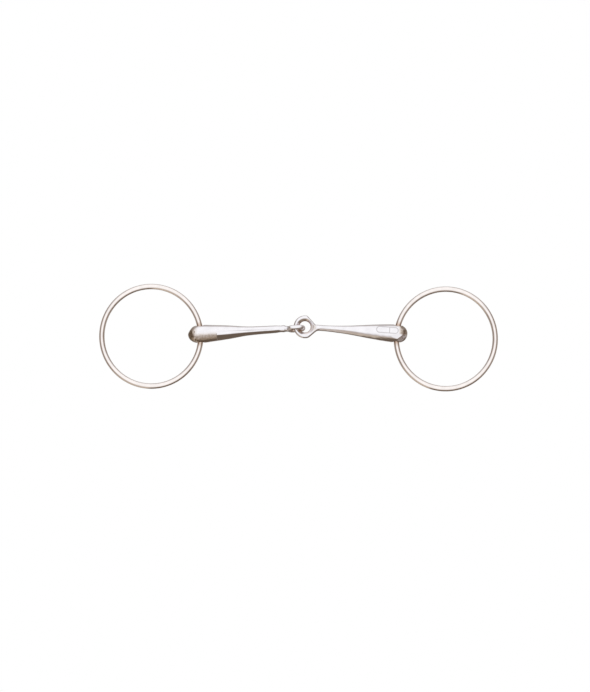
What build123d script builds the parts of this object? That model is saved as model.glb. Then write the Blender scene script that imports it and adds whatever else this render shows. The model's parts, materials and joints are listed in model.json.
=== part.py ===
from build123d import *
import os
from math import asin, atan2, cos, degrees, hypot, radians, sin, sqrt

# A single-jointed loose-ring snaffle bit, lying flat. Millimetres. X runs along the mouthpiece,
# Z is up from the surface that the bit lies on, and the origin is at the middle of its base.

# Rings: round wire, each passed through a hole across the thick end of its cannon.
RING_OUTSIDE = 70.0
RING_WIRE = 3.6
RING_MIDLINE = (RING_OUTSIDE - RING_WIRE) / 2

# Cannons: thick at the ring, thin at the middle. Each station is a distance from the ring hole
# and the radius there. The tip is how far the rounded end reaches beyond the hole.
END_RADIUS = 6.05
END_FULLNESS = 0.6
LEFT_TIP = 8.1
RIGHT_TIP = 6.9
LEFT_STATIONS = [(0, END_RADIUS), (10, 5.35), (20, 4.45), (30, 3.2), (40, 2.7), (50, 2.5), (56.2, 2.1)]
RIGHT_STATIONS = [(0, END_RADIUS), (10, 5.45), (20, 4.4), (30, 3.2), (40, 2.35), (48, 1.98), (54, 1.98)]
LEFT_SLOPE = 3.65
RIGHT_SLOPE = 4.2

# Ring holes. The wire is curved, so it wanders across the hole by its own sagitta. The holes are
# a little out of square with the cannons.
HOLE_RADIUS = 2.3
HOLE_MOUTH = 0.8
LEFT_HOLE_SKEW = -1.05
RIGHT_HOLE_SKEW = -2.0
WIRE_SAGITTA = RING_MIDLINE - sqrt(RING_MIDLINE**2 - END_RADIUS**2)
RING_REACH = RING_MIDLINE - WIRE_SAGITTA / 2
RING_TILT = degrees(asin((END_RADIUS - RING_WIRE / 2) / (RING_REACH + RING_MIDLINE)))

# Right eye: lies flat. It is round, with a straight shoulder each side of the neck, this far from
# its centre. Its hole is dished on both faces, down to a narrow land at mid height.
FLAT_EYE_REACH = 61.5
FLAT_EYE_OUTSIDE = 7.6
FLAT_EYE_HOLE = 3.7
FLAT_EYE_LAND = 0.7
FLAT_EYE_DISH = 5.5
FLAT_EYE_THICKNESS = 3.7
FLAT_EYE_ROUNDING = 1.5
SHOULDER_ANGLE = radians(44)
FRONT_SHOULDER = 7.1
BACK_SHOULDER = 6.2
SHOULDER_BLEND = 2.5

# Left eye: a round loop that stands on edge, rolled a little about its cannon and set to one side
# of it on a short neck. It passes through the right eye, whose centre lies this far along and
# beside the loop's own centre.
LOOP_REACH = 64.1
LOOP_SIDE = 0.6
LOOP_WIRE = 3.0
LOOP_MIDLINE = 4.5
LOOP_ROLL = 17.0
NECK_END_RADIUS = 1.4
LINK_ALONG = 5.8
LINK_BESIDE = 0.95


def turned_body(stations, tip):
    """Solid of revolution about X: a full rounded thick end, then a smooth taper to the joint end."""
    brow = (-END_FULLNESS * tip, END_RADIUS)
    chin = (-tip, END_FULLNESS * END_RADIUS)
    cap = Bezier((0, END_RADIUS), brow, chin, (-tip, 0))
    side = Spline(*stations, tangents=[(1, 0), (1, 0)])
    axis_line = Polyline(side @ 1, (stations[-1][0], 0), (-tip, 0))
    return revolve(make_face(Curve() + [cap, side, axis_line]), Axis.X)


def ring_hole():
    """The space of a ring hole: along Y, straight in the middle, with rounded mouths."""
    mouth_radius = HOLE_RADIUS + HOLE_MOUTH
    beyond = END_RADIUS + 1
    wall = Line((HOLE_RADIUS, 0), (HOLE_RADIUS, END_RADIUS - HOLE_MOUTH))
    mouth = CenterArc((mouth_radius, END_RADIUS - HOLE_MOUTH), HOLE_MOUTH, start_angle=180, arc_size=-90)
    rest = Polyline((mouth_radius, END_RADIUS), (mouth_radius, beyond), (0, beyond), (0, 0), wall @ 0)
    half = revolve(make_face(Curve() + [wall, mouth, rest]), Axis.Y)
    return half + mirror(half, Plane.XZ)


def shoulder(side, reach):
    """One straight shoulder of the right eye: where it leaves the round, and where it meets the neck."""
    along = sqrt(FLAT_EYE_OUTSIDE**2 - reach**2)
    leave_x = along * cos(SHOULDER_ANGLE) - reach * sin(SHOULDER_ANGLE)
    leave_y = along * sin(SHOULDER_ANGLE) + reach * cos(SHOULDER_ANGLE)
    shank = RIGHT_STATIONS[-1][1]
    meet_x = (shank * cos(SHOULDER_ANGLE) - reach) / sin(SHOULDER_ANGLE)
    return (leave_x, side * leave_y), (meet_x, side * shank)


def eye_hole():
    """The space of the right eye's hole, about Z."""
    rim = FLAT_EYE_THICKNESS / 2
    wall = [(0, 0), (FLAT_EYE_HOLE, 0), (FLAT_EYE_HOLE, FLAT_EYE_LAND / 2), (FLAT_EYE_DISH, rim)]
    beyond = [(FLAT_EYE_DISH, rim + 1), (0, rim + 1), (0, 0)]
    half = revolve(make_face(Polyline(*wall, *beyond)), Axis.Y)
    return Rot(X=90) * (half + mirror(half, Plane.XZ))


def flat_eye():
    """The right eye with its neck, centred on its hole and lying in XY, with the neck towards -X."""
    shank = RIGHT_STATIONS[-1][1]
    neck_end = RIGHT_STATIONS[-2][0] - FLAT_EYE_REACH
    front_leave, front_meet = shoulder(1, FRONT_SHOULDER)
    back_leave, back_meet = shoulder(-1, BACK_SHOULDER)
    head = ThreePointArc(front_leave, (FLAT_EYE_OUTSIDE, 0), back_leave)
    neck = Polyline(back_leave, back_meet, (neck_end, -shank), (neck_end, shank), front_meet, front_leave)
    outline = make_face(Curve() + [head, neck])
    corners = [v for v in outline.vertices() if abs(abs(v.Y) - shank) < 0.01 and v.X > neck_end + 0.1]
    plate = extrude(fillet(corners, SHOULDER_BLEND), FLAT_EYE_THICKNESS / 2, both=True)
    rims = [e for e in plate.edges() if abs(e.center().Z) > 1 and e.center().X > neck_end + 0.1]
    return fillet(rims, FLAT_EYE_ROUNDING) - eye_hole()


def loop_eye():
    """The left eye, centred on its hole, standing on edge."""
    return Rot(X=90 - LOOP_ROLL) * Torus(LOOP_MIDLINE, LOOP_WIRE / 2)


def loop_neck():
    """The left eye's neck, in the cannon's frame: from the cannon's end to the near side of the loop."""
    start, radius = LEFT_STATIONS[-1]
    along = LOOP_REACH - LOOP_MIDLINE - start
    length = hypot(along, LOOP_SIDE)
    bar = Rot(Y=90) * Pos(0, 0, length / 2) * Cone(radius, NECK_END_RADIUS, length)
    turn = Rot(Z=degrees(atan2(-LOOP_SIDE, along)))
    return Pos(start, 0, 0) * (Sphere(radius) + turn * bar)


def ring():
    """A ring in the frame of its hole: it leaves the hole away from the joint and slopes down."""
    wire = Torus(RING_MIDLINE, RING_WIRE / 2)
    return Rot(Y=-RING_TILT) * Pos(-RING_REACH, 0, 0) * wire


def left_cannon():
    """The left cannon in its own frame: the ring hole at the origin and the joint towards +X."""
    body = turned_body(LEFT_STATIONS, LEFT_TIP) + loop_neck()
    body += Pos(LOOP_REACH, -LOOP_SIDE, 0) * loop_eye()
    return body - Rot(Z=LEFT_HOLE_SKEW) * ring_hole()


def right_cannon():
    """The right cannon in its own frame, laid out as the left one is."""
    body = turned_body(RIGHT_STATIONS, RIGHT_TIP) + Pos(FLAT_EYE_REACH, 0, 0) * flat_eye()
    return body - Rot(Z=RIGHT_HOLE_SKEW) * ring_hole()


# The right eye's centre is where the two cannons meet. Each cannon slopes down from it to its ring.
LEFT_TURN = Rot(Z=LEFT_SLOPE)
RIGHT_TURN = Rot(Z=180 - RIGHT_SLOPE)
LEFT_PLACE = LEFT_TURN * Pos(-LOOP_REACH - LINK_ALONG, LOOP_SIDE - LINK_BESIDE, 0)
RIGHT_PLACE = RIGHT_TURN * Pos(-FLAT_EYE_REACH, 0, 0)
LEFT_HOLE = LEFT_PLACE * Rot(Z=LEFT_HOLE_SKEW)
RIGHT_HOLE = RIGHT_PLACE * Rot(Z=RIGHT_HOLE_SKEW)


def all_pieces():
    """Every piece in its place, about the right eye's centre."""
    return {
        "left_cannon": LEFT_PLACE * left_cannon(),
        "right_cannon": RIGHT_PLACE * right_cannon(),
        "left_ring": LEFT_HOLE * ring(),
        "right_ring": RIGHT_HOLE * ring(),
    }


def ring_centre(hole):
    """Where the centre of the ring in this hole comes to lie."""
    return (hole * Rot(Y=-RING_TILT) * Pos(-RING_REACH, 0, 0)).position


def to_base_middle():
    """The shift that puts the origin at the middle of the bit's base."""
    left, right = ring_centre(LEFT_HOLE), ring_centre(RIGHT_HOLE)
    return Pos(-(left.X + right.X) / 2, -(left.Y + right.Y) / 2, END_RADIUS)


if __name__ == "__main__":
    os.makedirs("parts", exist_ok=True)
    for name, piece in all_pieces().items():
        export_step(to_base_middle() * piece, f"parts/{name}.step")
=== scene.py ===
import json
from math import cos, pi, radians, sin, sqrt
import bpy
from mathutils import Matrix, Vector
import numpy as np
import openvdb as vdb


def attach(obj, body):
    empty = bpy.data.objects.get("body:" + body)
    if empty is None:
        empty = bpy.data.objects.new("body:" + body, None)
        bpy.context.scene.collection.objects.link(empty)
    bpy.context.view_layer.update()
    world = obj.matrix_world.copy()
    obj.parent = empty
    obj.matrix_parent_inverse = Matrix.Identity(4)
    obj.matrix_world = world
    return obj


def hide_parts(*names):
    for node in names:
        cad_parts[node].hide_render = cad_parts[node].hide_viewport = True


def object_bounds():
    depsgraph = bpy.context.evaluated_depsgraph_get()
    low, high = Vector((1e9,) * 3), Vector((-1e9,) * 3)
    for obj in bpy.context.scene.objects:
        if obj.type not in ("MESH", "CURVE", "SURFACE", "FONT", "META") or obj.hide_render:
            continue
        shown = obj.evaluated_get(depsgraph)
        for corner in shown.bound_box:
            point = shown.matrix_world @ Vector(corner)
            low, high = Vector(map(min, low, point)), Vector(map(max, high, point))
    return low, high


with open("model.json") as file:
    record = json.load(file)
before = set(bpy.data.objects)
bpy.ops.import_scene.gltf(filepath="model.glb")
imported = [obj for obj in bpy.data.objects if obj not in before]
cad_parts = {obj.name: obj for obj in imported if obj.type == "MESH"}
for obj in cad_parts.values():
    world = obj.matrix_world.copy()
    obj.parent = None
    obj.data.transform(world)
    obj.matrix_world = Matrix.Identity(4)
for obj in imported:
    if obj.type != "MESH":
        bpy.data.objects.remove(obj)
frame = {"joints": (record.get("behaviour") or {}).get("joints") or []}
cad_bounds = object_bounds()
joints = {j["name"]: j for j in frame["joints"]}

# Lengths of the pieces are in millimetres, in each piece's own frame; MM takes them to the scene.
# A cannon's own frame has its origin at the ring hole, X towards the joint, Y along the hole and Z up.
MM = 0.001

# Rings: round wire. RING_DROP, worked out below, is how far a ring slopes down from its hole.
WIRE_RADIUS = 1.8
RING_MIDLINE = 33.2
RING_AROUND = 480
WIRE_AROUND = 40

# Cannons: stations are distances from the ring hole, with the radius there. The tip is how far
# the rounded end reaches beyond the hole.
END_RADIUS = 6.05
HOLE_RADIUS = 2.3
HOLE_MOUTH = 0.8
WIRE_SAGITTA = RING_MIDLINE - sqrt(RING_MIDLINE**2 - END_RADIUS**2)
RING_REACH = RING_MIDLINE - WIRE_SAGITTA / 2
RING_DROP = (END_RADIUS - WIRE_RADIUS) / (RING_REACH + RING_MIDLINE)
LEFT_TIP = 8.1
RIGHT_TIP = 6.9
LEFT_STATIONS = [(0, END_RADIUS), (10, 5.35), (20, 4.45), (30, 3.2), (40, 2.7), (50, 2.5), (56.2, 2.1)]
RIGHT_STATIONS = [(0, END_RADIUS), (10, 5.45), (20, 4.4), (30, 3.2), (40, 2.35), (48, 1.98), (54, 1.98)]
LEFT_HOLE_SKEW = radians(-1.05)
RIGHT_HOLE_SKEW = radians(-2.0)

# Right eye: flat and round, with a straight shoulder each side of the neck, this far from its
# centre. Its hole is dished on both faces, down to a narrow land.
FLAT_EYE_REACH = 61.5
FLAT_EYE_OUTSIDE = 7.6
FLAT_EYE_HOLE = 3.7
FLAT_EYE_LAND = 0.7
FLAT_EYE_DISH = 5.8
FLAT_EYE_THICKNESS = 3.7
FLAT_EYE_ROUNDING = 1.5
SHOULDER_ANGLE = radians(44)
FRONT_SHOULDER = 7.1
BACK_SHOULDER = 6.2
SHOULDER_START = -3.0

# Left eye: a loop that stands on edge, rolled a little about its cannon and set to one side of it.
LOOP_REACH = 64.1
LOOP_SIDE = 0.45
LOOP_MIDLINE = 4.5
LOOP_WIRE = 1.5
LOOP_ROLL = radians(12)
NECK_RADIUS = 2.05
NECK_END_RADIUS = 1.75

# The painted reflection of a softbox's outline, a faint grey line on top of the right thick end, along
# the cannon from
# the ring hole: its middle, half its length, its rounded ends' radius, and the line across it.
SOFTBOX_EDGE_MIDDLE = 6.85
SOFTBOX_EDGE_HALF = 7.15
SOFTBOX_EDGE_CORNER = 1.95
SOFTBOX_EDGE_RIB = 5.4

# Small dents in the left rounded end: each one's centre, clear of the surface, and its radius.
LEFT_DENTS = [((-3.5, -2.55, 6.05), 1.2), ((-4.3, 1.8, 5.85), 1.0)]

# Where the two flats along the left cannon meet, and how far a flat lifts off the bar as it runs out.
LEFT_FLATS_MEET = 11.1
FLAT_LIFT = 0.12

# Rounding of edges and corners: crisp where a flat was ground, soft where two forged shapes join.
CRISP = 0.12
WORN = 0.5
SOFT = 1.0

# The finish: how deep its waves are, and how far the surface lies inside the plain shape under it.
FINISH_WAVE = 0.0035
FINISH_INSET = 0.03
WIRE_WAVE = 0.012

# Brown painted shade where pieces meet, with wear, fades out over these distances: from a ring hole, on
# a ring from where it leaves its hole, from the flat eye's hole, and on the loop from the last distance
# here, which is measured from its centre.
HOLE_SHADE_AND_WEAR = 1.4
RING_SHADE_AND_WEAR = 2.5
FLAT_EYE_SHADE_AND_WEAR = 1.7
LOOP_SHADE_AND_WEAR = 2.2
LOOP_SHADE_AND_WEAR_START = 3.4

# How far before the flat eye's centre the painted brown reflection on its neck is darkest.
WEB_REACH = 5.2

# Lowest and highest corners of the space that each cannon is made in, and the step of its grid.
LEFT_SPACE = (-9, -7, -7), (71, 7, 7)
RIGHT_SPACE = (-8.5, -9, -7), (70, 9, 7)
VOXEL = 0.25

# Colours of the metal, and of the marks painted on it: brown reflections, a grey reflection line, and
# brown shade with wear.
STEEL = (0.865, 0.88, 0.935)
WIRE_STEEL = (0.90, 0.88, 0.88)
REFLECTION_BROWN_LIGHT = (0.50, 0.41, 0.31)
REFLECTION_BROWN_DARK = (0.27, 0.22, 0.16)
REFLECTION_LINE_GREY = (0.42, 0.41, 0.43, 1)
SHADE_AND_WEAR_BROWN = (0.42, 0.25, 0.13, 1)

# Polishing streaks per metre, along a cannon and across it; a ring's finish is even.
CANNON_STREAKS = (180, 2600, 2600)
RING_STREAKS = (900, 900, 900)

# The light around the bit, from below to overhead, and what stands in it.
TENT = [
    (0.0, (0.36, 0.31, 0.27)),
    (0.25, (0.33, 0.27, 0.23)),
    (0.38, (0.25, 0.19, 0.15)),
    (0.48, (0.24, 0.18, 0.14)),
    (0.56, (0.38, 0.31, 0.27)),
    (0.66, (0.64, 0.58, 0.55)),
    (0.77, (0.92, 0.88, 0.86)),
    (0.84, (1.0, 0.965, 0.94)),
]
BLACK = (0, 0, 0)
GLOW = (0.50, 0.45, 0.42)
WALL = (0.62, 0.51, 0.40, 1)
DOORWAY = (0.115, 0.080, 0.056, 1)
WHITE = (1, 1, 1, 1)
TENT_STRENGTH = 1.12

# In metres: the floor, and the point that the camera looks straight down at. The picture is this
# many times as tall as the bit is wide.
FLOOR_SIZE = 20
FLOOR_HEIGHT = -0.085
LOOK_AT = (-0.00236, -0.00556, 0.004)
PICTURE_HEIGHT = 1.7325


# ---------------------------------------------------------------- distance fields

def blend_union(a, b, soft):
    """Union of two distance fields with a fillet of about this size in the corner."""
    mix = np.clip(0.5 + 0.5 * (b - a) / soft, 0, 1)
    return b + (a - b) * mix - soft * mix * (1 - mix)


def blend_cut(a, b, soft):
    """The first field with the second cut away, and the edge rounded."""
    return -blend_union(-a, b, soft)


def blend_common(a, b, soft):
    """What two distance fields have in common, with the edge rounded."""
    return -blend_union(-a, -b, soft)


def smooth_step(x, start, end):
    """0 before the start and 1 after the end, with a smooth rise between them."""
    t = np.clip((x - start) / (end - start), 0, 1)
    return t * t * (3 - 2 * t)


def smooth_profile(x, stations):
    """Radius and slope at x on a smooth curve through the stations, level at both ends."""
    at = np.array([s[0] for s in stations], float)
    radius = np.array([s[1] for s in stations], float)
    slope = np.gradient(radius, at)
    slope[0] = slope[-1] = 0
    x = np.clip(x, at[0], at[-1])
    i = np.clip(np.searchsorted(at, x, side="right") - 1, 0, len(at) - 2)
    span = at[i + 1] - at[i]
    t = (x - at[i]) / span
    value = (
        (1 + 2 * t) * (1 - t) ** 2 * radius[i]
        + t * (1 - t) ** 2 * span * slope[i]
        + t**2 * (3 - 2 * t) * radius[i + 1]
        + t**2 * (t - 1) * span * slope[i + 1]
    )
    rate = (
        6 * t * (t - 1) / span * (radius[i] - radius[i + 1])
        + (1 - t) * (1 - 3 * t) * slope[i]
        + t * (3 * t - 2) * slope[i + 1]
    )
    return value, rate


def turned_body(p, stations, tip, soft):
    """A round bar along X that follows the stations, with a full rounded thick end."""
    across = np.hypot(p[1], p[2])
    radius, rate = smooth_profile(p[0], stations)
    side = (across - radius) / np.sqrt(1 + rate**2)
    bar = blend_common(side, p[0] - stations[-1][0], soft)
    fullness = 2.15
    k = ((np.abs(p[0]) / tip) ** fullness + (across / END_RADIUS) ** fullness) ** (1 / fullness)
    cap = (k - 1) * END_RADIUS
    return np.where(p[0] > 0, bar, cap)


def side_flat(p, stations, lean, depth, start, end, run_out):
    """The outside of a flat ground along a bar, leaning from upright towards -Y or +Y."""
    radius, _ = smooth_profile(p[0], stations)
    reach = smooth_step(p[0], start - run_out, start) * (1 - smooth_step(p[0], end, end + run_out))
    lift = FLAT_LIFT * (1 - reach)
    return p[1] * sin(lean) + p[2] * cos(lean) - radius * (1 - depth * reach) - lift


def plane(p, normal, reach):
    """A flat cut, this far out from the ring hole's centre."""
    n = np.array(normal, float)
    n /= np.linalg.norm(n)
    return p[0] * n[0] + p[1] * n[1] + p[2] * n[2] - reach


def hole_space(p, skew):
    """The ring hole along Y, widening at its mouths."""
    x = p[0] * cos(skew) + p[1] * sin(skew)
    over = np.clip(np.abs(p[1]) - (END_RADIUS - HOLE_MOUTH), 0, HOLE_MOUTH)
    flare = HOLE_MOUTH - np.sqrt(HOLE_MOUTH**2 - over**2)
    return np.hypot(x, p[2]) - HOLE_RADIUS - flare


def squared_ring(along, across, height, midline, wire):
    """A ring of round wire, bent squarer than a circle, most of all on its neck side, -along."""
    power = np.where(along < 0, 4.5, 2.8)
    u, v = np.abs(along) / midline, np.abs(across) / midline
    k = np.maximum((u**power + v**power) ** (1 / power), 1e-6)
    steepness = np.hypot(u ** (power - 1), v ** (power - 1)) / k ** (power - 1)
    from_line = (k - 1) * midline / np.maximum(steepness, 0.5)
    return np.hypot(from_line, height) - wire


def taper(p, a, b, start_radius, end_radius):
    """A round bar between two points, with rounded ends."""
    a, b = np.array(a, float), np.array(b, float)
    way = b - a
    rel = [p[i] - a[i] for i in range(3)]
    t = np.clip(sum(rel[i] * way[i] for i in range(3)) / (way @ way), 0, 1)
    away = np.sqrt(sum((rel[i] - way[i] * t) ** 2 for i in range(3)))
    return away - start_radius + (start_radius - end_radius) * t


def eye_plate(p):
    """The right eye's solid head, centred, with its neck side towards -X."""
    round_head = np.minimum(np.hypot(p[0], p[1]) - FLAT_EYE_OUTSIDE, p[0] - SHOULDER_START)
    front = -p[0] * sin(SHOULDER_ANGLE) + p[1] * cos(SHOULDER_ANGLE) - FRONT_SHOULDER
    back = -p[0] * sin(SHOULDER_ANGLE) - p[1] * cos(SHOULDER_ANGLE) - BACK_SHOULDER
    inset = blend_common(round_head, np.maximum(front, back), soft=0.3) + FLAT_EYE_ROUNDING
    rise = np.abs(p[2]) - FLAT_EYE_THICKNESS / 2 + FLAT_EYE_ROUNDING
    corner = np.hypot(np.maximum(inset, 0), np.maximum(rise, 0))
    return np.minimum(np.maximum(inset, rise), 0) + corner - FLAT_EYE_ROUNDING


def eye_hole(p):
    """The space of the right eye's hole."""
    across = np.hypot(p[0], p[1])
    rise = FLAT_EYE_THICKNESS / 2 - FLAT_EYE_LAND / 2
    spread = FLAT_EYE_DISH - FLAT_EYE_HOLE
    height = np.abs(p[2]) - FLAT_EYE_LAND / 2
    dish = (across - FLAT_EYE_HOLE) * rise - height * spread
    return blend_union(across - FLAT_EYE_HOLE, dish / sqrt(rise**2 + spread**2), soft=0.3)


def hand_finish(p, seed):
    """Slow waves of a hand-polished surface, in millimetres."""
    rng = np.random.default_rng(seed)
    total = 0
    for _ in range(14):
        wave = rng.normal(size=3)
        wave *= rng.uniform(0.7, 2.4) / np.linalg.norm(wave)
        total = total + np.sin(wave[0] * p[0] + wave[1] * p[1] + wave[2] * p[2] + rng.uniform(0, 2 * pi))
    return total * FINISH_WAVE


def marks_on(wear, tarnish, line, p):
    """The painted marks on a cannon, by name: shade with wear, brown reflection, and reflection lines. A
    line is only on top: below, its distance is 1 mm more.
    """
    return {"wear": np.clip(wear, 0, 1), "tarnish": tarnish, "line": line + (p[2] < 0)}


def left_marks(p):
    """Painted shade with wear, painted brown reflection, and distance to the nearest painted reflection
    line, over the left cannon's surface.
    """
    from_loop = np.sqrt((p[0] - LOOP_REACH) ** 2 + (p[1] + LOOP_SIDE) ** 2 + p[2] ** 2)
    # Brown painted shade where the pieces meet, with wear: fading away from the ring hole and from the
    # loop.
    at_hole = 1 - hole_space(p, LEFT_HOLE_SKEW) / HOLE_SHADE_AND_WEAR
    at_loop = 1 - (from_loop - LOOP_SHADE_AND_WEAR_START) / LOOP_SHADE_AND_WEAR
    # Painted brown reflection: on the -Y side of the thick end, high up, and over the rounded end,
    # darker towards its tip.
    front = 0.8 * smooth_step(-p[1], -1.6, 1.8) * smooth_step(p[2], 1.5, 4.0) * (p[0] < LEFT_FLATS_MEET)
    end = 1.2 * smooth_step(-p[0], 0.5, 6.5)
    # Painted reflection of a softbox's edge: a faint grey line along the top of the bar.
    line = np.abs(p[1] - 0.9 + 0.03 * (p[0] - 18)) + 0.015 * np.abs(p[0] - 32)
    return marks_on(np.maximum(at_hole, at_loop), np.maximum(front, end), line, p)


def right_marks(p):
    """Painted shade with wear, painted brown reflection, and distance to the nearest painted reflection
    line, over the right cannon's surface.
    """
    from_eye = np.hypot(p[0] - FLAT_EYE_REACH, p[1]) - FLAT_EYE_HOLE
    # Brown painted shade where the pieces meet, with wear: fading away from the ring hole and from the
    # flat eye's hole.
    at_hole = 1 - hole_space(p, RIGHT_HOLE_SKEW) / HOLE_SHADE_AND_WEAR
    at_eye = 0.9 - from_eye / FLAT_EYE_SHADE_AND_WEAR
    # Painted brown reflection on the -Y half of the rounded end, and a darker one on the neck just
    # before the flat eye.
    end = 0.9 * smooth_step(-p[0], 0.3, 2.5) * smooth_step(-p[1], -0.8, 0.4)
    from_web = np.hypot(p[0] - FLAT_EYE_REACH + WEB_REACH, p[1])
    web = 0.6 * smooth_step(-from_web, -3.2, -0.8)
    # Painted reflection of a softbox's outline on top of the thick end, with a line across it.
    along = np.abs(p[0] - SOFTBOX_EDGE_MIDDLE) - SOFTBOX_EDGE_HALF + SOFTBOX_EDGE_CORNER
    beside = np.abs(p[1] + SOFTBOX_EDGE_CORNER)
    edge = np.hypot(np.maximum(along, 0), beside) - SOFTBOX_EDGE_CORNER
    rib = np.hypot(p[0] - SOFTBOX_EDGE_RIB, np.maximum(edge, 0))
    line = np.minimum(np.abs(edge), rib)
    return marks_on(np.maximum(at_hole, at_eye), np.maximum(end, web), line, p)


def left_cannon_field(p):
    """The left cannon: two flats along its top, a cut and two dents on its end, and the loop."""
    body = turned_body(p, LEFT_STATIONS, LEFT_TIP, soft=1.6)
    end_flat = side_flat(p, LEFT_STATIONS, radians(-29), depth=0.09, start=-3, end=11.0, run_out=0.6)
    long_flat = side_flat(p, LEFT_STATIONS, radians(-43), depth=0.11, start=11.2, end=52, run_out=3)
    near_end = p[0] < LEFT_FLATS_MEET
    flats = np.where(near_end, end_flat, long_flat)
    body = blend_common(body, flats, np.where(near_end, SOFT, CRISP))
    near_side = (LOOP_REACH - LOOP_MIDLINE, -LOOP_SIDE, 0)
    neck = taper(p, (LEFT_STATIONS[-1][0], 0, 0), near_side, NECK_RADIUS, NECK_END_RADIUS)
    body = blend_union(body, neck, soft=1.4)
    body = blend_common(body, plane(p, (-0.787, 0.618, 0.15), reach=6.95), WORN)
    for place, size in LEFT_DENTS:
        dent = np.sqrt(sum((p[i] - place[i]) ** 2 for i in range(3))) - size
        body = blend_cut(body, dent, soft=0.2)
    across = p[1] + LOOP_SIDE
    y = across * cos(LOOP_ROLL) - p[2] * sin(LOOP_ROLL)
    z = p[2] * cos(LOOP_ROLL) + across * sin(LOOP_ROLL)
    loop = squared_ring(p[0] - LOOP_REACH, z, y, LOOP_MIDLINE, LOOP_WIRE)
    whole = blend_cut(blend_union(body, loop, SOFT), hole_space(p, LEFT_HOLE_SKEW), WORN)
    return whole + hand_finish(p, seed=5) + FINISH_INSET


def right_cannon_field(p):
    """The right cannon: a flat along its thin end, two cuts on its thick end, and the flat eye."""
    body = turned_body(p, RIGHT_STATIONS, RIGHT_TIP, soft=0.5)
    long_flat = side_flat(p, RIGHT_STATIONS, radians(30), depth=0.12, start=42, end=60, run_out=28)
    body = blend_common(body, long_flat, soft=0.15)
    body = blend_common(body, plane(p, (-0.06, 0.27, 0.96), reach=5.72), CRISP)
    body = blend_common(body, plane(p, (-0.42, 0.62, 0.66), reach=5.6), CRISP)
    centred = p - np.array([FLAT_EYE_REACH, 0, 0]).reshape((3,) + (1,) * (p.ndim - 1))
    whole = blend_union(body, eye_plate(centred), SOFT)
    whole = blend_cut(whole, eye_hole(centred), soft=0.25)
    whole = blend_cut(whole, hole_space(p, RIGHT_HOLE_SKEW), WORN)
    return whole + hand_finish(p, seed=8) + FINISH_INSET


# ---------------------------------------------------------------- meshes

def gradient(field, p, step=0.02):
    """Direction of steepest increase of the field at the points."""
    parts = []
    for i in range(3):
        shift = np.zeros((3, 1))
        shift[i] = step
        parts.append((field(p + shift) - field(p - shift)) / (2 * step))
    return np.array(parts)


def field_surface(field, low, high):
    """Points, faces and normals of the field's zero surface, every point on the surface itself."""
    axes = [np.arange(low[i], high[i], VOXEL) for i in range(3)]
    p = np.array(np.meshgrid(*axes, indexing="ij"))
    grid = vdb.FloatGrid(3.0)
    grid.copyFromArray(field(p).astype(np.float32))
    points, quads = grid.convertToQuads(isovalue=0.0)
    points = points.T.astype(float) * VOXEL + np.array(low, float)[:, None]
    for _ in range(4):
        slope = gradient(field, points)
        points -= slope * field(points) / np.maximum((slope**2).sum(0), 1e-9)
    slope = gradient(field, points)
    return points, quads, slope / np.linalg.norm(slope, axis=0)


def hole_frame(side):
    """4 x 4 matrix from a ring hole's frame, in mm, to the scene. The joint's axis is the frame's Y."""
    joint = joints[f"{side}_ring_swing"]
    y = np.array(joint["axis"], float)
    m = np.eye(4)
    m[:3, 0], m[:3, 1], m[:3, 2] = np.cross(y, (0, 0, 1)) * MM, y * MM, np.array((0, 0, MM))
    m[:3, 3] = joint["pos_m"]
    return m


def turned(angle):
    """4 x 4 matrix of a turn about Z."""
    m = np.eye(4)
    m[:2, :2] = [[cos(angle), -sin(angle)], [sin(angle), cos(angle)]]
    return m


def add_piece(name, points, faces, matrix, material, body, node, marks, normals=None):
    """A mesh in the scene that stands for a CAD node and moves with its body."""
    mesh = bpy.data.meshes.new(name)
    mesh.from_pydata(points.T.tolist(), [], faces.tolist())
    for mark, value in marks.items():
        attribute = mesh.attributes.new(mark, "FLOAT", "POINT")
        attribute.data.foreach_set("value", value.astype(np.float32))
    mesh.transform(Matrix(matrix.tolist()))
    mesh.shade_smooth()
    if normals is not None:
        turned_normals = matrix[:3, :3] @ normals / MM
        mesh.normals_split_custom_set_from_vertices(turned_normals.T.tolist())
    mesh.materials.append(material)
    piece = bpy.data.objects.new(name, mesh)
    bpy.context.scene.collection.objects.link(piece)
    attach(piece, body)
    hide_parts(node)


def make_cannon(side, field, marks, skew, space, material):
    """A forged cannon, with the marks on its surface as attributes of its points."""
    points, faces, normals = field_surface(field, *space)
    matrix = hole_frame(side) @ turned(-skew)
    name = f"{side}_cannon"
    piece_name = f"{name}_forging"
    found = marks(points)
    add_piece(piece_name, points, faces, matrix, material, name, name, found, normals)


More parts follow.
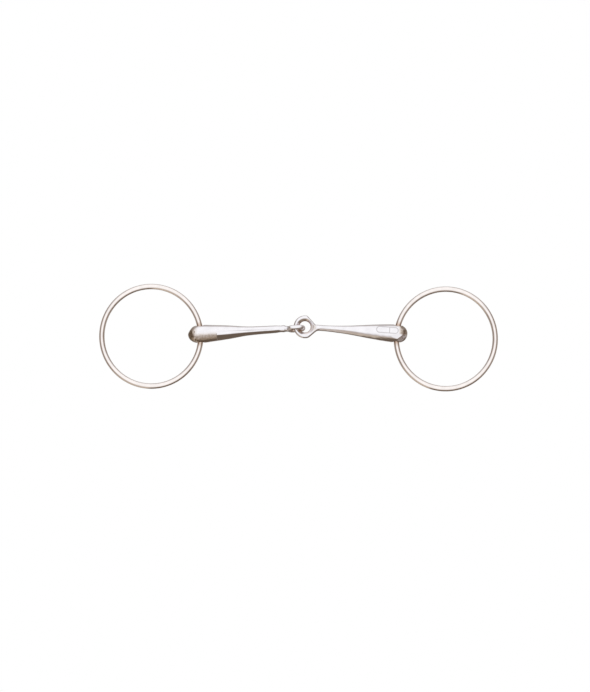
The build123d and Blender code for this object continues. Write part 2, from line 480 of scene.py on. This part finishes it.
def make_ring(side, material):
    """A ring of round wire, in its hole's frame, sloping down from the hole."""
    around = np.arange(RING_AROUND) * 2 * pi / RING_AROUND
    section = np.arange(WIRE_AROUND) * 2 * pi / WIRE_AROUND
    a, s = np.meshgrid(around, section, indexing="ij")
    wire = WIRE_RADIUS - WIRE_WAVE * (1 + np.sin(5 * a + 1) * np.sin(3 * a))
    flat = RING_MIDLINE + wire * np.cos(s)
    local = np.array([flat * np.cos(a), flat * np.sin(a), wire * np.sin(s)]).reshape(3, -1)
    level = sqrt(1 - RING_DROP**2)
    lean = np.eye(4)
    lean[:3, :3] = [[level, 0, -RING_DROP], [0, 1, 0], [RING_DROP, 0, level]]
    shift = np.eye(4)
    shift[0, 3] = -RING_REACH
    i = np.arange(RING_AROUND)[:, None] * WIRE_AROUND
    j = np.arange(WIRE_AROUND)[None, :]
    i_next = np.roll(i, -1, axis=0)
    j_next = np.roll(j, -1, axis=1)
    faces = np.stack([i + j, i_next + j, i_next + j_next, i + j_next], -1).reshape(-1, 4)
    matrix = hole_frame(side) @ lean @ shift
    # Brown painted shade, with wear, on the ring where it passes through its hole; a ring has no
    # reflection line.
    near_hole = np.where(local[0] > 0, 1 - (np.abs(local[1]) - END_RADIUS) / RING_SHADE_AND_WEAR, 0)
    marks = {"wear": 0.7 * np.clip(near_hole, 0, 1), "line": np.ones(local.shape[1])}
    name = f"{side}_ring"
    add_piece(f"{name}_wire", local, faces, matrix, material, name, name, marks)


# ---------------------------------------------------------------- materials

class Nodes:
    """A node tree with short calls for adding and joining nodes."""

    def __init__(self, tree):
        self.tree = tree

    def add(self, kind, inputs=None, **settings):
        node = self.tree.nodes.new(kind)
        for key, value in settings.items():
            setattr(node, key, value)
        for key, value in (inputs or {}).items():
            if isinstance(value, bpy.types.NodeSocket):
                self.tree.links.new(value, node.inputs[key])
            else:
                node.inputs[key].default_value = value
        return node

    def math(self, operation, a, b=0.0):
        """One arithmetic step. b is left out where the operation takes one value."""
        return self.add("ShaderNodeMath", {0: a, 1: b}, operation=operation).outputs[0]

    def ramp(self, value, stops):
        """A colour that changes with the value, through stops of a position and a colour."""
        node = self.add("ShaderNodeValToRGB", {0: value})
        elements = node.color_ramp.elements
        while len(elements) < len(stops):
            elements.new(0.5)
        for element, (position, colour) in zip(elements, stops):
            element.position = position
            element.color = (*colour, 1)
        return node.outputs[0]

    def noise(self, vector, scale, detail):
        inputs = {"Vector": vector, "Scale": scale, "Detail": detail, "Roughness": 0.55}
        return self.add("ShaderNodeTexNoise", inputs).outputs[0]

    def mark(self, name):
        """A mark on the piece's points. It is 0 on a piece without it."""
        return self.add("ShaderNodeAttribute", attribute_name=name).outputs["Fac"]

    def mix(self, factor, a, b, blend="MIX"):
        node = self.add("ShaderNodeMix", {0: factor, 6: a, 7: b}, data_type="RGBA", blend_type=blend)
        return node.outputs[2]

    def range(self, value, low, high, to_low, to_high):
        inputs = {0: value, 1: low, 2: high, 3: to_low, 4: to_high}
        return self.add("ShaderNodeMapRange", inputs).outputs[0]


def polished_steel(name, tint, streak_scale):
    """Stainless steel with fine polishing streaks and faint clouds. The marks on a piece add a painted
    brown reflection of dark surroundings, a painted grey line reflecting a softbox's edge, and darker
    brown painted shade, with wear, where pieces meet."""
    material = bpy.data.materials.new(name)
    material.use_nodes = True
    tree = material.node_tree
    shader = tree.nodes["Principled BSDF"]
    n = Nodes(tree)
    place = n.add("ShaderNodeTexCoord").outputs["Object"]
    stretched = n.add("ShaderNodeMapping", {"Vector": place, "Scale": streak_scale}).outputs[0]
    streaks = n.noise(stretched, scale=1.0, detail=4)
    clouds = n.noise(place, scale=260.0, detail=3)
    grit = n.noise(place, scale=5200.0, detail=2)
    mottle = n.noise(place, scale=900.0, detail=3)
    colour = n.ramp(clouds, [(0.35, tuple(0.93 * c for c in tint)), (0.62, tint)])
    # Painted reflection: brown where dark surroundings would be mirrored, broken up by a mottle; it also
    # roughens the surface.
    tarnish = n.math("MULTIPLY", n.mark("tarnish"), n.range(mottle, 0.35, 0.65, 0.65, 1.05))
    reflection_brown = n.ramp(tarnish, [(0.5, REFLECTION_BROWN_LIGHT), (1.0, REFLECTION_BROWN_DARK)])
    colour = n.mix(tarnish, colour, reflection_brown)
    # Painted reflection of softbox edges: a faint grey line.
    line = n.range(n.mark("line"), 0.1, 0.45, 0.75, 0.0)
    colour = n.mix(line, colour, REFLECTION_LINE_GREY)
    # Darker brown painted shade where pieces meet, with wear.
    shaded_and_worn = n.math("MULTIPLY", n.mark("wear"), n.range(clouds, 0.3, 0.7, 0.6, 1.0))
    colour = n.mix(shaded_and_worn, colour, SHADE_AND_WEAR_BROWN)
    rough = n.range(streaks, 0.3, 0.7, 0.03, 0.07)
    rough = n.math("ADD", rough, n.range(clouds, 0.5, 0.75, 0.0, 0.06))
    rough = n.math("ADD", rough, n.math("MULTIPLY", tarnish, 0.12))
    height = n.math("ADD", n.math("MULTIPLY", streaks, 0.6), n.math("MULTIPLY", grit, 0.4))
    bump = n.add("ShaderNodeBump", {"Height": height, "Strength": 0.06, "Distance": 0.00002})
    tree.links.new(colour, shader.inputs["Base Color"])
    tree.links.new(rough, shader.inputs["Roughness"])
    tree.links.new(bump.outputs[0], shader.inputs["Normal"])
    shader.inputs["Metallic"].default_value = 1
    return material


# ---------------------------------------------------------------- studio

def make_floor(height):
    """A plain white floor below the swing of the rings. It casts nothing onto the metal."""
    bpy.ops.mesh.primitive_plane_add(size=FLOOR_SIZE, location=(0, 0, height))
    floor = bpy.context.object
    floor.name = "floor"
    material = bpy.data.materials.new("floor_white")
    material.use_nodes = True
    tree = material.node_tree
    tree.nodes.clear()
    n = Nodes(tree)
    glow = n.add("ShaderNodeEmission", {"Color": WHITE, "Strength": 1.0})
    n.add("ShaderNodeOutputMaterial", {"Surface": glow.outputs[0]})
    floor.data.materials.append(material)
    floor.visible_glossy = False
    floor.visible_diffuse = False


def make_light():
    """A white tent over a brown bench, open low down. Low light comes in from +Y, a tan wall stands
    towards -Y, and in it, from the middle towards +X, is a dark doorway."""
    world = bpy.data.worlds.new("studio")
    bpy.context.scene.world = world
    world.use_nodes = True
    world.node_tree.nodes.clear()
    n = Nodes(world.node_tree)
    direction = n.add("ShaderNodeTexCoord").outputs["Generated"]
    x, y, z = n.add("ShaderNodeSeparateXYZ", {0: direction}).outputs
    back = n.math("MULTIPLY", n.math("MAXIMUM", y, 0.0), 0.85)
    front = n.math("MULTIPLY", n.math("MINIMUM", y, 0.0), 0.25)
    ends = n.math("MULTIPLY", n.math("ABSOLUTE", x), -0.5)
    height = n.math("ADD", n.math("ADD", z, ends), n.math("ADD", back, front))
    colour = n.ramp(n.range(height, -1.2, 1.2, 0, 1), TENT)
    glow = n.ramp(n.range(y, 0.1, 0.7, 0, 1), [(0.0, BLACK), (1.0, GLOW)])
    colour = n.mix(1.0, colour, glow, "LIGHTEN")
    beside = n.math("MULTIPLY", n.range(y, -0.5, -0.75, 0.0, 0.85), n.range(z, 0.62, 0.38, 0.0, 1.0))
    wall = n.math("MULTIPLY", beside, n.range(z, -0.5, -0.15, 0.0, 1.0))
    colour = n.mix(wall, colour, WALL)
    low = n.math("MULTIPLY", n.range(z, 0.52, 0.25, 0.0, 1.0), n.range(y, -0.45, -0.7, 0.0, 1.0))
    doorway = n.math("MULTIPLY", low, n.range(x, -0.22, -0.13, 0.0, 0.95))
    colour = n.mix(doorway, colour, DOORWAY)
    tent = n.add("ShaderNodeBackground", {"Color": colour, "Strength": TENT_STRENGTH}).outputs[0]
    seen = n.add("ShaderNodeBackground", {"Color": WHITE, "Strength": 1.0}).outputs[0]
    camera_ray = n.add("ShaderNodeLightPath").outputs["Is Camera Ray"]
    split = n.add("ShaderNodeMixShader", {0: camera_ray, 1: tent, 2: seen})
    n.add("ShaderNodeOutputWorld", {"Surface": split.outputs[0]})


def make_camera(low, high):
    """Straight above the bit, which lies a little above and right of the picture's middle."""
    view_height = PICTURE_HEIGHT * (high[0] - low[0])
    camera = bpy.data.cameras.new("camera")
    camera.lens = 100
    camera.clip_end = 50
    seat = bpy.data.objects.new("camera", camera)
    bpy.context.scene.collection.objects.link(seat)
    distance = view_height * camera.lens / camera.sensor_width
    seat.location = (LOOK_AT[0], LOOK_AT[1], LOOK_AT[2] + distance)
    bpy.context.scene.camera = seat


# ---------------------------------------------------------------- the bit and its studio

steel = polished_steel("polished_steel", STEEL, CANNON_STREAKS)
wire_steel = polished_steel("polished_wire", WIRE_STEEL, RING_STREAKS)
make_cannon("left", left_cannon_field, left_marks, LEFT_HOLE_SKEW, LEFT_SPACE, steel)
make_cannon("right", right_cannon_field, right_marks, RIGHT_HOLE_SKEW, RIGHT_SPACE, steel)
make_ring("left", wire_steel)
make_ring("right", wire_steel)
bpy.context.scene.view_settings.view_transform = "Standard"
make_floor(FLOOR_HEIGHT)
make_light()
make_camera(*cad_bounds)
